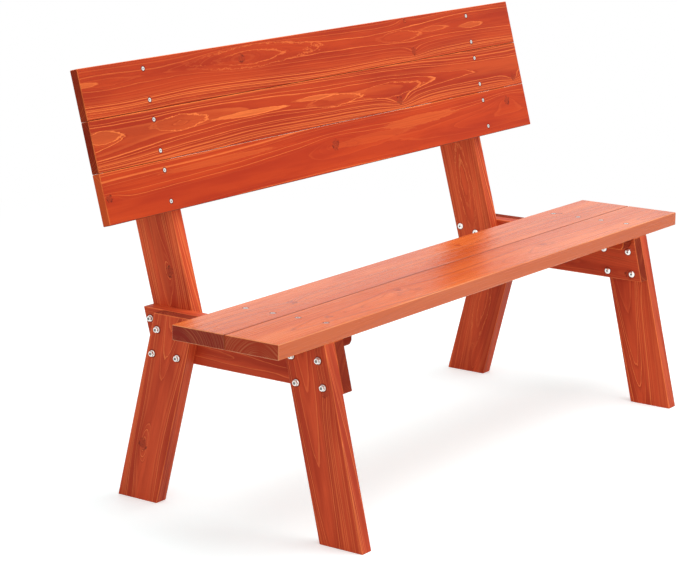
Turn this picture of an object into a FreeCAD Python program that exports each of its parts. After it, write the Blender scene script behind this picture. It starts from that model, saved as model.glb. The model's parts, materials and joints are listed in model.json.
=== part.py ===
import FreeCAD, Part
import math
import os

# A timber garden bench whose backrest turns over on two pivot bolts and becomes a table top.
# X runs along the bench, Y from the sitter's toes to the back, Z up; the floor is Z = 0.
# Pieces of an end frame are drawn at the right end, positive X, and mirrored for the left.

os.makedirs("parts", exist_ok=True)
V = FreeCAD.Vector
OUT = V(1, 0, 0)
IN = V(-1, 0, 0)
DOWN = V(0, 0, -1)

# Timber stock
frame_width = 99.0
frame_thickness = 30.0
seat_thickness = 30.0
board_width = 101.6
board_thickness = 19.0
batten_width = 38.0
batten_thickness = 21.0
arris = 1.2

# Seat
bench_length = 1550.0
seat_board_width = 125.6
seat_joint = 1.5
seat_top = 426.0
seat_front = -276.0
seat_batten_recess = 7.0

# End frames, and how far the boards reach past their outer faces
end_overhang = 143.0
front_toe = -367.0
front_splay = 13.0
rear_heel = 244.4
rear_splay = 14.4
back_lean = 15.0

# Backrest, and how far its pivot lies from its boards
pivot_y = 212.3
table_height = 747.0
board_count = 3
board_joint = 0.3
pivot_from_lower_edge = 110.6
pivot_behind_boards = 39.4
cleat_inset = 8.5
cleat_bevel = 23.0
end_batten_inset = 54.5
end_batten_recess = 6.0
batten_bevel_along = 5.0
batten_bevel_deep = 9.0

# Clearances
stop_gap = 0.3
side_gap = 0.5
running_gap = 0.05
bolt_gap = 0.25
screw_gap = 0.1

# Bolts, nuts and washers
bolt_d = 6.0
bolt_head_d = 15.0
bolt_head_h = 3.4
bolt_end = 1.5
dome_flat = 0.45
dome_shoulder = 0.8
dome_shoulder_h = 0.7
nut_flats = 10.0
nut_height = 5.0
washer_d = 13.0
washer_t = 1.6
pivot_bolt_d = 8.0
pivot_head_d = 19.0
pivot_head_h = 4.2
pivot_nut_flats = 13.0
pivot_nut_height = 6.5
pivot_washer_d = 20.0

# Where the bolts sit: their rows above the rail's lower edge, and how far in from the timber edges
bolt_row_low = 15.2
bolt_row_high = 66.3
post_bolt_row = 77.0
leg_bolt_front_in = 22.0
leg_bolt_rear_in = 16.5
post_bolt_in = 12.5

# Countersunk screws
screw_point = 1.0
back_screw_d = 4.0
back_screw_head = 8.0
back_screw_length = 50.0
back_screw_edge = 19.5
seat_screw_d = 5.0
seat_screw_head = 9.5
seat_screw_length = 70.0
seat_screw_edge = 29.5
batten_screw_length = 36.0
batten_screw_edge = 30.0

# Screw eye and lock pin, at the left end only, placed from the pivot: up the back and behind it
eye_up = 135.3
eye_behind = 12.5
eye_wire = 3.0
eye_ring_r = 7.5
eye_shank_d = 3.6
eye_shank_length = 22.0
eye_neck = 2.0
lock_up = 22.0
lock_behind = 39.0
lock_d = 8.0
lock_lead = 1.3
lock_in_post = 21.0
lock_hole_spare = 1.5
lock_collar_d = 16.0
lock_collar_t = 3.0
lock_ring_r = 8.0
lock_ring_wire = 3.0

# Chain between them, drawn as it hangs: how each run of links leans from plumb, towards the back
link_wire = 2.0
link_inner_length = 12.6
link_inner_width = 4.5
link_gap = 0.4
joining_ring_r = 7.5
joining_ring_slack = 2.7
chain_loop = 62.0
run_links = (1, 1, 3, 2, 1, 1, 1, 3)
run_leans = (30.0, 6.3, 11.3, 12.4, 5.3, -51.5)

# How many flats stand for a round on the small repeated pieces
screw_sides = 6
bolt_sides = 8
nut_sides = 6
crown_sides = 14
link_sides = 6
link_bends = 4
ring_sides = 6
ring_bends = 14

# Planes and levels that follow from the sizes above
lean = math.radians(back_lean)
up = V(0, math.sin(lean), math.cos(lean))
behind = V(0, math.cos(lean), -math.sin(lean))
rail_top = seat_top - seat_thickness
rail_bottom = rail_top - frame_width
leg_face_x = bench_length / 2 - end_overhang
rail_x = leg_face_x - frame_thickness
post_x = rail_x - frame_thickness
post_inner_x = post_x - frame_thickness
fixing_x = rail_x - frame_thickness / 2
pivot_z = table_height - board_thickness - pivot_behind_boards
pivot = V(0, pivot_y, pivot_z)
back_height = board_count * (board_width + board_joint) - board_joint
back_top = back_height - pivot_from_lower_edge
back_low = -pivot_from_lower_edge
seat_rear = seat_front + 2 * seat_board_width + seat_joint
cleat_x = post_x + side_gap
cleat_face_x = cleat_x + frame_thickness
lock_travel = side_gap + lock_in_post + running_gap
flip_angle = 90.0 - back_lean


def at(u, n, x=0.0):
    """A point measured from the pivot: u up the backrest and n behind it."""
    return pivot + up * u + behind * n + OUT * x


board_rear = -pivot_behind_boards
board_front = board_rear - board_thickness
cleat_rear = board_rear + frame_width
depth_centre = (front_toe + at(back_top - cleat_inset - cleat_bevel, cleat_rear).y) / 2


def front_edge(z):
    return front_toe + z * math.tan(math.radians(front_splay))


def rear_edge(z):
    return rear_heel - z * math.tan(math.radians(rear_splay))


def post_front(z):
    edge = at(0, board_rear + stop_gap)
    return edge.y + (z - edge.z) * math.tan(lean)


def post_rear(z):
    return post_front(z) + (frame_width - stop_gap) / math.cos(lean)


front_leg_run = frame_width / math.cos(math.radians(front_splay))
rear_leg_run = frame_width / math.cos(math.radians(rear_splay))


def timber(outline, x_low, x_high):
    """A plank sawn to an outline of (y, z) points, from one X to another, with eased edges."""
    points = [V(x_low, y, z) for y, z in outline]
    face = Part.Face(Part.makePolygon(points + points[:1]))
    plank = face.extrude(V(x_high - x_low, 0, 0))
    return plank.makeChamfer(arris, plank.Edges)


def back_timber(outline, x_low, x_high):
    """The same for a plank of the backrest, its outline given as (u, n) points from the pivot."""
    corners = [at(u, n) for u, n in outline]
    return timber([(c.y, c.z) for c in corners], x_low, x_high)


def rod(start, direction, diameter, length):
    return Part.makeCylinder(diameter / 2, length, start, direction)


def skin(rings, closed=False):
    """A solid with flat faces between rings of points; closed joins the last ring to the first."""
    count = len(rings[0])
    pairs = list(zip(rings, rings[1:])) + ([(rings[-1], rings[0])] if closed else [])
    faces = []
    for near, far in pairs:
        for k in range(count):
            after = (k + 1) % count
            quad = [near[k], near[after], far[after], far[k], near[k]]
            faces.append(Part.Face(Part.makePolygon(quad)))
    if not closed:
        faces += [Part.Face(Part.makePolygon(ring + ring[:1])) for ring in (rings[0], rings[-1])]
    solid = Part.Solid(Part.Shell(faces))
    return solid if solid.Volume > 0 else solid.reversed()


def ring_points(centre, across, beside, radius, sides):
    """The corners of a regular polygon whose flats lie at the radius."""
    corner = radius / math.cos(math.pi / sides)
    angles = [2 * math.pi * (k + 0.5) / sides for k in range(sides)]
    return [centre + across * (corner * math.cos(a)) + beside * (corner * math.sin(a)) for a in angles]


def turned(start, direction, outline, sides, closed=False):
    """A small turned piece with a few flats in place of each round: its outline is (radius, distance)."""
    spin = FreeCAD.Rotation(V(0, 0, 1), direction)
    across, beside = spin.multVec(V(1, 0, 0)), spin.multVec(V(0, 1, 0))
    rings = [ring_points(start + direction * h, across, beside, r, sides) for r, h in outline]
    return skin(rings, closed)


def domed(radius, height):
    """The outline of a shallow domed head, from its flat top down to its rim."""
    return [(dome_flat * radius, -height), (dome_shoulder * radius, -dome_shoulder_h * height), (radius, 0)]


def bolt(start, direction, head_d, head_h, shank, length):
    """A bolt with a shallow domed head standing on the face at start and its shank along direction."""
    stem = [(shank / 2, 0), (shank / 2, length)]
    return turned(start, direction, domed(head_d / 2, head_h) + stem, bolt_sides)


def loop(start, direction, outer_d, hole_d, height, sides):
    """A washer or, with six sides, a nut, standing on the face at start."""
    outline = [(outer_d / 2, 0), (outer_d / 2, height), (hole_d / 2, height), (hole_d / 2, 0)]
    return turned(start, direction, outline, sides, closed=True)


def screw(start, direction, shank, head, length):
    """A countersunk screw with the flat of its head at start."""
    sink = (head - shank) / 2
    outline = [(head / 2, 0), (shank / 2, sink), (shank / 2, length - shank), (screw_point / 2, length)]
    return turned(start, direction, outline, screw_sides)


def screw_hole(start, direction, shank, head, length):
    """The countersunk hole for such a screw, wider and deeper by the clearance."""
    wide = head / 2 + screw_gap
    narrow = shank / 2 + screw_gap
    outline = [(wide, 0), (narrow, wide - narrow), (narrow, length + screw_gap)]
    return turned(start, direction, outline, screw_sides)


def screw_set(places, direction, shank, head, length):
    """Screws for one row of places, and the holes for them."""
    screws = [screw(place, direction, shank, head, length) for place in places]
    holes = [screw_hole(place, direction, shank, head, length) for place in places]
    return screws, holes


def bent_wire(points, radius, square, sides):
    """A closed wire of a few flats, its edges on the round, along points in a plane square to one direction."""
    flat = radius * math.cos(math.pi / sides)
    rings = []
    for k, point in enumerate(points):
        coming = (point - points[k - 1]).normalize()
        going = (points[(k + 1) % len(points)] - point).normalize()
        mitre = (coming - going).normalize()
        stretch = 1 / math.cos(coming.getAngle(going) / 2)
        rings.append(ring_points(point, mitre * stretch, square, flat, sides))
    return skin(rings, closed=True)


def save(name, solids):
    shape = solids[0] if len(solids) == 1 else Part.makeCompound(solids)
    shape.translated(V(0, -depth_centre, 0)).exportStep("parts/" + name + ".step")


def mirror(shape):
    return shape.mirror(V(0, 0, 0), OUT)


def save_pair(name, right, left=None):
    """The piece of the right end, and its mirror image, or another piece, at the left end."""
    save(name + "_right", right)
    save(name + "_left", [mirror(shape) for shape in (left or right)])


def front_bolt_places():
    """Two rows of two across the front leg, each pair parallel to the leg's edges."""
    places = []
    for row in (bolt_row_high, bolt_row_low):
        z = rail_bottom + row
        places.append((front_edge(z) + leg_bolt_front_in, z))
        places.append((front_edge(z) + front_leg_run - leg_bolt_rear_in, z))
    return places


def rear_bolt_places():
    """Three bolts that hold rear leg, rail and post together."""
    low = rail_bottom + bolt_row_low
    high = rail_bottom + bolt_row_high
    places = [(rear_edge(z) - leg_bolt_rear_in, z) for z in (low, high)]
    return places + [(rear_edge(low) - rear_leg_run + leg_bolt_front_in, low)]


def post_bolt_place():
    """The bolt behind the rear leg that holds only rail and post."""
    z = rail_bottom + post_bolt_row
    return post_rear(z) - post_bolt_in, z


# Every frame bolt: its place, the face its head sits on and the face its nut sits on
frame_bolts = [(y, z, post_x, leg_face_x) for y, z in front_bolt_places()]
frame_bolts += [(y, z, post_inner_x, leg_face_x) for y, z in rear_bolt_places()]
frame_bolts += [post_bolt_place() + (post_inner_x, rail_x)]


def bolt_holes():
    """The holes for all the frame bolts of one end, as wide as the bolts and their clearance."""
    r = bolt_d / 2 + bolt_gap
    return [turned(V(head, y, z), OUT, [(r, 0), (r, nut - head)], bolt_sides)
            for y, z, head, nut in frame_bolts]


def frame_bolt(y, z, head, nut):
    length = nut - head + washer_t + nut_height + bolt_end
    return bolt(V(head, y, z), OUT, bolt_head_d, bolt_head_h, bolt_d, length)


def frame_washer(y, z, head, nut):
    return loop(V(nut, y, z), OUT, washer_d, bolt_d + 2 * bolt_gap, washer_t, bolt_sides)


def frame_nut(y, z, head, nut):
    return loop(V(nut + washer_t, y, z), OUT, nut_flats, bolt_d + 2 * bolt_gap, nut_height, nut_sides)


def front_leg():
    run = front_leg_run
    foot = [(front_toe, 0), (front_toe + run, 0)]
    head = [(front_edge(rail_top) + run, rail_top), (front_edge(rail_top), rail_top)]
    return timber(foot + head, rail_x, leg_face_x)


def rear_leg():
    run = rear_leg_run
    foot = [(rear_heel - run, 0), (rear_heel, 0)]
    head = [(rear_edge(rail_top), rail_top), (rear_edge(rail_top) - run, rail_top)]
    return timber(foot + head, rail_x, leg_face_x)


def rail():
    """The crosspiece under the seat, its ends cut to the slope of the front leg and of the post."""
    ends = [(edge(z), z) for edge, z in ((front_edge, rail_top), (front_edge, rail_bottom),
                                         (post_rear, rail_bottom), (post_rear, rail_top))]
    return timber(ends, post_x, rail_x)


def post():
    """The leaning upright that carries the pivot. The table top lies on its level upper end.

    Its front upper corner is sawn off between the two places where the turning boards pass closest.
    """
    top = pivot_z - board_rear - stop_gap
    shoulder = at(0, board_rear + stop_gap)
    outline = [(post_front(rail_bottom), rail_bottom), (post_rear(rail_bottom), rail_bottom)]
    outline += [(post_rear(top), top), (pivot_y, top), (shoulder.y, shoulder.z)]
    return timber(outline, post_inner_x, post_x)


def pivot_hole(x_low, x_high, gap):
    return rod(pivot + OUT * x_low, OUT, pivot_bolt_d + 2 * gap, x_high - x_low)


def pivot_bolt():
    """A round bolt, its head on the moving cleat and its nut inside the post."""
    head = pivot + OUT * (cleat_face_x + side_gap)
    length = head.x - post_inner_x + washer_t + pivot_nut_height + bolt_end
    crown = turned(head, IN, domed(pivot_head_d / 2, pivot_head_h), crown_sides)
    return crown.fuse(rod(head, IN, pivot_bolt_d, length))


def pivot_washer():
    hole = pivot_bolt_d + 2 * bolt_gap
    return loop(pivot + OUT * post_inner_x, IN, pivot_washer_d, hole, washer_t, bolt_sides)


def pivot_nut():
    start = pivot + OUT * (post_inner_x - washer_t)
    return loop(start, IN, pivot_nut_flats, pivot_bolt_d + 2 * bolt_gap, pivot_nut_height, nut_sides)


def lock_hole(flip):
    """A blind hole in the post's outer face, where the lock pin comes with the back turned so far."""
    place = FreeCAD.Rotation(IN, flip).multVec(at(lock_up, lock_behind) - pivot) + pivot
    depth = lock_in_post + lock_hole_spare
    return rod(place + OUT * post_x, IN, lock_d + 2 * running_gap, depth)


def seat_board(front):
    rear = front + seat_board_width
    square = [(front, rail_top), (rear, rail_top), (rear, seat_top), (front, seat_top)]
    return timber(square, -bench_length / 2, bench_length / 2)


def seat_screw_lines():
    """Where the screws of both seat boards lie, from front to back."""
    fronts = (seat_front, seat_front + seat_board_width + seat_joint)
    return [f + edge for f in fronts for edge in (seat_screw_edge, seat_board_width - seat_screw_edge)]


def seat_batten():
    """A flat batten under the seat against the rail, its lower corners sawn off."""
    front = seat_front + seat_batten_recess
    rear = seat_rear - seat_batten_recess
    low = rail_top - batten_thickness
    slope = low + batten_bevel_deep
    outline = [(front, rail_top), (front, slope), (front + batten_bevel_along, low)]
    outline += [(rear - batten_bevel_along, low), (rear, slope), (rear, rail_top)]
    return timber(outline, post_x - batten_width, post_x)


def back_board(row):
    low = back_low + row * (board_width + board_joint)
    high = low + board_width
    outline = [(low, board_rear), (low, board_front), (high, board_front), (high, board_rear)]
    return back_timber(outline, -bench_length / 2, bench_length / 2)


def back_screw_lines(edge):
    """Where screws cross the three boards, each row so far from the board's edges."""
    lows = [back_low + row * (board_width + board_joint) for row in range(board_count)]
    return [low + step for low in lows for step in (edge, board_width - edge)]


def back_cleat():
    """The deep cleat that carries the boards and turns on the pivot, beside the post."""
    low = back_low + cleat_inset
    high = back_top - cleat_inset
    outline = [(low, board_rear), (high, board_rear)]
    outline += [(high - cleat_bevel, cleat_rear), (low + cleat_bevel, cleat_rear)]
    return back_timber(outline, cleat_x, cleat_face_x)


def end_batten():
    """A batten across the boards near their ends, its outer corners sawn off."""
    low = back_low + end_batten_recess
    high = back_top - end_batten_recess
    deep = board_rear + batten_thickness
    slope = deep - batten_bevel_deep
    outline = [(low, board_rear), (low, slope), (low + batten_bevel_along, deep)]
    outline += [(high - batten_bevel_along, deep), (high, slope), (high, board_rear)]
    outer = bench_length / 2 - end_batten_inset
    return back_timber(outline, outer - batten_width, outer)


def round_ring(centre, across, square, radius, wire):
    """A ring of wire about an axis square to it."""
    beside = square.cross(across)
    turns = [2 * math.pi * k / ring_bends for k in range(ring_bends)]
    points = [centre + across * (radius * math.cos(t)) + beside * (radius * math.sin(t)) for t in turns]
    return bent_wire(points, wire / 2, square, ring_sides)


def screw_eye():
    """A ring on a screwed shank, its ring lying along the cleat."""
    ring_x = cleat_face_x + eye_neck + eye_ring_r + eye_wire / 2
    ring = round_ring(at(eye_up, eye_behind, ring_x), up, behind, eye_ring_r, eye_wire)
    neck_x = ring_x - eye_ring_r
    shank = rod(at(eye_up, eye_behind, neck_x), IN, eye_shank_d, neck_x - cleat_face_x + eye_shank_length)
    return ring.fuse(shank)


def eye_hole():
    start = at(eye_up, eye_behind, cleat_face_x)
    return rod(start, IN, eye_shank_d + 2 * screw_gap, eye_shank_length + screw_gap)


def lock_pin():
    """The lock pin drawn back until its tip is just inside the cleat, clear of the post."""
    collar_x = cleat_face_x + lock_travel
    tip_x = cleat_x + running_gap
    lead_x = tip_x + lock_lead
    shank = rod(at(lock_up, lock_behind, collar_x), IN, lock_d, collar_x - lead_x)
    flat_r = lock_d / 2 * math.cos(math.pi / crown_sides)
    cone = [(flat_r, 0), (flat_r - lock_lead, lock_lead)]
    tip = turned(at(lock_up, lock_behind, lead_x), IN, cone, crown_sides)
    rim = [(lock_collar_d / 2, 0), (lock_collar_d / 2, lock_collar_t)]
    collar = turned(at(lock_up, lock_behind, collar_x), OUT, rim, crown_sides)
    ring_x = collar_x + lock_collar_t + lock_ring_r
    ring = round_ring(at(lock_up, lock_behind, ring_x), behind, up, lock_ring_r, lock_ring_wire)
    return shank.fuse([tip, collar, ring])


def chain_link(centre, along, across):
    """A long link of wire with rounded ends, flat in the plane of its two directions."""
    round_r = (link_inner_width + link_wire) / 2
    reach = (link_inner_length + link_wire) / 2 - round_r
    turns = [math.pi * k / link_bends for k in range(link_bends + 1)]
    half = [along * (reach + round_r * math.sin(t)) + across * (round_r * math.cos(t)) for t in turns]
    points = [centre + p for p in half] + [centre - p for p in half]
    return bent_wire(points, link_wire / 2, along.cross(across), link_sides)


def link_hook(k):
    """From the near inner end of odd link k to the middle of the wire that it hangs on."""
    return (eye_wire if k == 1 else link_wire) / 2 + link_gap


def link_reach(k, count):
    """How far link k carries the chain: odd links lie flat and hold the wires of their neighbours."""
    if k % 2 == 0:
        return link_inner_length + link_wire
    if k == count:
        return 2 * joining_ring_r - link_wire - link_hook(k) - lock_ring_wire / 2 - joining_ring_slack
    return link_inner_length - link_hook(k) - link_wire / 2 - link_gap


def chain_runs():
    """The runs of links, each with its first hinge, its direction and the numbers of its links.

    The last run ends midway between the places of the ring with the pin drawn and with the pin home.
    """
    eye = (eye_up - eye_ring_r, eye_behind)
    ring = (lock_up, lock_behind + lock_ring_r)
    swing = math.atan2(lock_travel, eye[0] - ring[0])
    drawn = math.hypot(lock_travel, eye[0] - ring[0])
    target = (-(drawn + eye[0] - ring[0]) / 2, ring[1] - eye[1])
    drop = at(*eye).z - at(*ring).z
    pitch = link_inner_length - link_gap
    pairs = max(0, round((drop - chain_loop) / (2 * pitch)))
    counts = [n + 2 * pairs if k == 1 else n for k, n in enumerate(run_links)]
    total = sum(counts)
    runs = []
    here = (0.0, 0.0)
    first = 1
    for k, count in enumerate(counts):
        numbers = range(first, first + count)
        length = sum(link_reach(number, total) for number in numbers)
        if k < len(run_leans):
            angle = math.radians(run_leans[k])
            turn = V(0, math.sin(angle), -math.cos(angle))
            heading = math.atan2(turn.dot(behind), turn.dot(up))
        else:
            gap = math.hypot(target[0] - here[0], target[1] - here[1])
            heading = math.atan2(target[1] - here[1], target[0] - here[0])
            if k == len(run_leans):
                rest = sum(link_reach(number, total) for number in range(first + count, total + 1))
                heading -= math.acos((length ** 2 + gap ** 2 - rest ** 2) / (2 * length * gap))
        runs.append((here, heading, numbers, total))
        here = (here[0] + length * math.cos(heading), here[1] + length * math.sin(heading))
        first += count
    return runs, swing


def chain_frame(swing):
    """The chain's own plane, swung outwards from the eye to reach the ring of the drawn pin."""
    ring_x = cleat_face_x + eye_neck + eye_ring_r + eye_wire / 2
    origin = at(eye_up - eye_ring_r, eye_behind, ring_x)
    tilted_up = up * math.cos(swing) - OUT * math.sin(swing)
    return origin, tilted_up, tilted_up.cross(behind)


def chain_run(run, swing):
    """The links of one run, flat ones in the chain's plane and cross ones square to it."""
    (u, n), heading, numbers, total = run
    origin, tilted_up, square = chain_frame(swing)
    along = tilted_up * math.cos(heading) + behind * math.sin(heading)
    here = origin + tilted_up * u + behind * n
    links = []
    for k in numbers:
        if k == total:
            centre = here + along * (joining_ring_r - link_wire / 2 - link_hook(k))
            links.append(round_ring(centre, along, square, joining_ring_r, link_wire))
        else:
            back_step = link_hook(k) if k % 2 else -link_wire / 2
            across = along.cross(square) if k % 2 else square
            centre = here + along * (link_inner_length / 2 - back_step)
            links.append(chain_link(centre, along, across))
        here = here + along * link_reach(k, total)
    return links


# Seat
seat_lines = seat_screw_lines()
seat_places = [V(side * fixing_x, y, seat_top) for side in (1, -1) for y in seat_lines]
right_seat = len(seat_lines)
seat_screws, seat_holes = screw_set(seat_places, DOWN, seat_screw_d, seat_screw_head, seat_screw_length)
batten_x = post_x - batten_width / 2
batten_level = rail_top - batten_thickness
under_places = [V(side * batten_x, y, batten_level) for side in (1, -1) for y in seat_lines]
under_screws, under_holes = screw_set(under_places, -DOWN, back_screw_d, back_screw_head, batten_screw_length)
front_board = seat_board(seat_front)
rear_board = seat_board(seat_front + seat_board_width + seat_joint)
save("seat_board_front", [front_board.cut(seat_holes + under_holes)])
save("seat_board_rear", [rear_board.cut(seat_holes + under_holes)])
save_pair("seat_batten", [seat_batten().cut(under_holes)])
save_pair("seat_screws", seat_screws[:right_seat])
save_pair("seat_batten_screws", under_screws[:right_seat])

# End frames
holes = bolt_holes()
save_pair("front_leg", [front_leg().cut(holes)])
save_pair("rear_leg", [rear_leg().cut(holes)])
save_pair("crosspiece", [rail().cut(holes + seat_holes)])
save_pair("frame_bolts", [frame_bolt(*bolt) for bolt in frame_bolts])
save_pair("frame_washers", [frame_washer(*bolt) for bolt in frame_bolts])
save_pair("frame_nuts", [frame_nut(*bolt) for bolt in frame_bolts])
drilled_post = post().cut(holes + [pivot_hole(post_inner_x, post_x, running_gap)])
save_pair("back_post", [drilled_post], [drilled_post.cut([lock_hole(0.0), lock_hole(flip_angle)])])
save_pair("pivot_bolt", [pivot_bolt()])
save_pair("pivot_washer", [pivot_washer()])
save_pair("pivot_nut", [pivot_nut()])

# Backrest
board_places = [at(u, board_front, side * (cleat_x + frame_thickness / 2))
                for side in (1, -1) for u in back_screw_lines(back_screw_edge)]
right_back = len(board_places) // 2
board_screws, board_holes = screw_set(board_places, behind, back_screw_d, back_screw_head, back_screw_length)
end_x = bench_length / 2 - end_batten_inset - batten_width / 2
end_places = [at(u, board_rear + batten_thickness, side * end_x)
              for side in (1, -1) for u in back_screw_lines(batten_screw_edge)]
end_screws, end_holes = screw_set(end_places, -behind, back_screw_d, back_screw_head, batten_screw_length)
for row, name in enumerate(("lower", "middle", "upper")):
    save("back_board_" + name, [back_board(row).cut(board_holes + end_holes)])
save_pair("end_batten", [end_batten().cut(end_holes)])
save_pair("back_screws", board_screws[:right_back])
save_pair("end_batten_screws", end_screws[:right_back])
turning_cleat = back_cleat().cut(board_holes + [pivot_hole(cleat_x, cleat_face_x, running_gap)])
pin_hole = rod(at(lock_up, lock_behind, cleat_x), OUT, lock_d + 2 * running_gap, frame_thickness)
save_pair("back_cleat", [turning_cleat], [turning_cleat.cut([pin_hole, eye_hole()])])

# Lock pin on its chain, left end
save("screw_eye", [mirror(screw_eye())])
save("lock_pin", [mirror(lock_pin())])
chain, chain_swing = chain_runs()
for k, run in enumerate(chain):
    save("lock_chain_" + str(k + 1), [mirror(link) for link in chain_run(run, chain_swing)])
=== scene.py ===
import bmesh
import bpy
import json
import math
from mathutils import Matrix, Vector

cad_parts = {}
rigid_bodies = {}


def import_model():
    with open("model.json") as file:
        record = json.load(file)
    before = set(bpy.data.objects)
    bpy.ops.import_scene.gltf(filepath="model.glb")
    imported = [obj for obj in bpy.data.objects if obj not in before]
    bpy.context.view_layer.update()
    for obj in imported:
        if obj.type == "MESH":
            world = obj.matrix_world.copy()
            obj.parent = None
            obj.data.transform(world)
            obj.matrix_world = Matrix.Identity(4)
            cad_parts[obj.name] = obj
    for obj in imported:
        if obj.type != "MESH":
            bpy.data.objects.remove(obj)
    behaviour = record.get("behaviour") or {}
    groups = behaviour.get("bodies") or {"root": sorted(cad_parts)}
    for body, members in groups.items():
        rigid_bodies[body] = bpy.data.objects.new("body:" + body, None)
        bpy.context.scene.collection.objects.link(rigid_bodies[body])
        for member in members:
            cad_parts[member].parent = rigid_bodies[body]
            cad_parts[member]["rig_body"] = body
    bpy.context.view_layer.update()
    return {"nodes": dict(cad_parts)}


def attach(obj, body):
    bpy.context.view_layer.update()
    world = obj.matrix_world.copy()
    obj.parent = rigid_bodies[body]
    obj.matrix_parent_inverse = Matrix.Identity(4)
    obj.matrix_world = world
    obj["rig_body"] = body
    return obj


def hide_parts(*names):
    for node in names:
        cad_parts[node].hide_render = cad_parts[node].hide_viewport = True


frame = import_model()
nodes = frame["nodes"]

# Studio
# The bench stands on a plain pale sweep. The camera looks from in front of its left end, a little above
# it, through a long lens. A wide soft box hangs overhead, and weaker ones stand in front and at the left.
camera_data = bpy.data.cameras.new("camera")
camera_data.sensor_width = 36.0
camera_data.lens = 120.9
camera_data.shift_x = 0.0187
camera_data.shift_y = -0.0484
camera_data.clip_end = 60.0
camera = bpy.data.objects.new("camera", camera_data)
bpy.context.collection.objects.link(camera)
aim, dip, roll = math.radians(54.017), math.radians(12.397), math.radians(0.292)
ahead = Vector((math.sin(aim) * math.cos(dip), math.cos(aim) * math.cos(dip), -math.sin(dip)))
level = Vector((math.cos(aim), -math.sin(aim), 0.0))
raised = level.cross(ahead)
right = level * math.cos(roll) + raised * math.sin(roll)
top = raised * math.cos(roll) - level * math.sin(roll)
camera.matrix_world = Matrix((right, top, -ahead)).transposed().to_4x4()
camera.location = (-3.9807, -2.6838, 1.4810)
bpy.context.scene.camera = camera
bpy.context.scene.view_settings.view_transform = "Standard"


def add(tree, kind, links=(), **settings):
    """One node of a tree, with its settings, and its inputs linked or filled in by name or number."""
    node = tree.nodes.new(kind)
    for name, value in settings.items():
        setattr(node, name, value)
    for socket, value in dict(links).items():
        if isinstance(value, bpy.types.NodeSocket):
            tree.links.new(value, node.inputs[socket])
        else:
            node.inputs[socket].default_value = value
    return node


def seen_directly(tree):
    """One for what the camera sees, itself or in a reflection, and nought for light that falls on things."""
    path = add(tree, "ShaderNodeLightPath").outputs
    either = {0: path["Is Camera Ray"], 1: path["Is Glossy Ray"]}
    either = add(tree, "ShaderNodeMath", either, operation="MAXIMUM").outputs[0]
    all_three = {0: either, 1: path["Is Transmission Ray"]}
    return add(tree, "ShaderNodeMath", all_three, operation="MAXIMUM").outputs[0]


def bare_material(name):
    """A material with nothing in its tree yet, and that tree."""
    material = bpy.data.materials.new(name)
    material.use_nodes = True
    material.node_tree.nodes.clear()
    return material, material.node_tree


fill_light = 0.62
world = bpy.data.worlds.new("studio")
world.use_nodes = True
bpy.context.scene.world = world
sky = world.node_tree
sky.nodes.clear()
soft_fill = add(sky, "ShaderNodeBackground", {"Color": (1.0, 0.98, 0.96, 1.0), "Strength": fill_light})
white_wall = add(sky, "ShaderNodeBackground", {"Color": (1.0, 1.0, 1.0, 1.0), "Strength": 1.0})
walls = {0: seen_directly(sky), 1: soft_fill.outputs[0], 2: white_wall.outputs[0]}
walls = add(sky, "ShaderNodeMixShader", walls)
add(sky, "ShaderNodeOutputWorld", {"Surface": walls.outputs[0]})

sweep_half = 12.0
paper_fades = (1.1, 3.0)
sweep_mesh = bpy.data.meshes.new("sweep")
sweep_corners = [(x * sweep_half, y * sweep_half, 0.0) for x, y in ((-1, -1), (1, -1), (1, 1), (-1, 1))]
sweep_mesh.from_pydata(sweep_corners, [], [(0, 1, 2, 3)])
sweep = bpy.data.objects.new("sweep", sweep_mesh)
bpy.context.collection.objects.link(sweep)
paper, tree = bare_material("white_paper")
place = add(tree, "ShaderNodeTexCoord").outputs["Object"]
reach = add(tree, "ShaderNodeVectorMath", {0: place}, operation="LENGTH").outputs["Value"]
far = {0: reach, 1: paper_fades[0], 2: paper_fades[1]}
far = add(tree, "ShaderNodeMapRange", far, interpolation_type="SMOOTHSTEP").outputs[0]
matt = add(tree, "ShaderNodeBsdfDiffuse", {"Color": (0.76, 0.86, 0.875, 1.0)})
lift = add(tree, "ShaderNodeMath", {0: seen_directly(tree), 1: 0.40}, operation="MULTIPLY")
glow = add(tree, "ShaderNodeEmission", {"Strength": lift.outputs[0]})
near_paper = add(tree, "ShaderNodeAddShader", {0: matt.outputs[0], 1: glow.outputs[0]})
far_paper = add(tree, "ShaderNodeEmission", {"Strength": 1.0})
far_seen = add(tree, "ShaderNodeMath", {0: far, 1: seen_directly(tree)}, operation="MULTIPLY")
both = {0: far_seen.outputs[0], 1: near_paper.outputs[0], 2: far_paper.outputs[0]}
both = add(tree, "ShaderNodeMixShader", both)
add(tree, "ShaderNodeOutputMaterial", {"Surface": both.outputs[0]})
sweep_mesh.materials.append(paper)


def soft_box(name, place, towards, size, power):
    """A wide square lamp that faces a point."""
    lamp = bpy.data.lights.new(name, "AREA")
    lamp.size = size
    lamp.energy = power
    box = bpy.data.objects.new(name, lamp)
    box.location = place
    box.rotation_euler = (Vector(towards) - Vector(place)).to_track_quat("-Z", "Y").to_euler()
    bpy.context.collection.objects.link(box)


soft_box("overhead", (0.5, -0.7, 3.4), (0.0, 0.0, 0.4), 2.6, 72.0)
soft_box("front", (0.6, -4.4, 1.9), (0.0, 0.0, 0.5), 2.2, 24.0)
soft_box("left_side", (-4.2, -1.6, 1.7), (0.0, 0.0, 0.5), 2.2, 26.0)

# Back boards
# Three planed spruce boards, 19 by 102 mm, stained red-orange. Each is sawn from its own log, so its
# growth rings, knots and stain differ. The stain sits deep in the soft wood and leaves the rings pale.


def stain(red, green, blue):
    """A colour as it looks on a screen, from 0 to 255."""
    return tuple(((c / 255 + 0.055) / 1.055) ** 2.4 for c in (red, green, blue)) + (1.0,)


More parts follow.
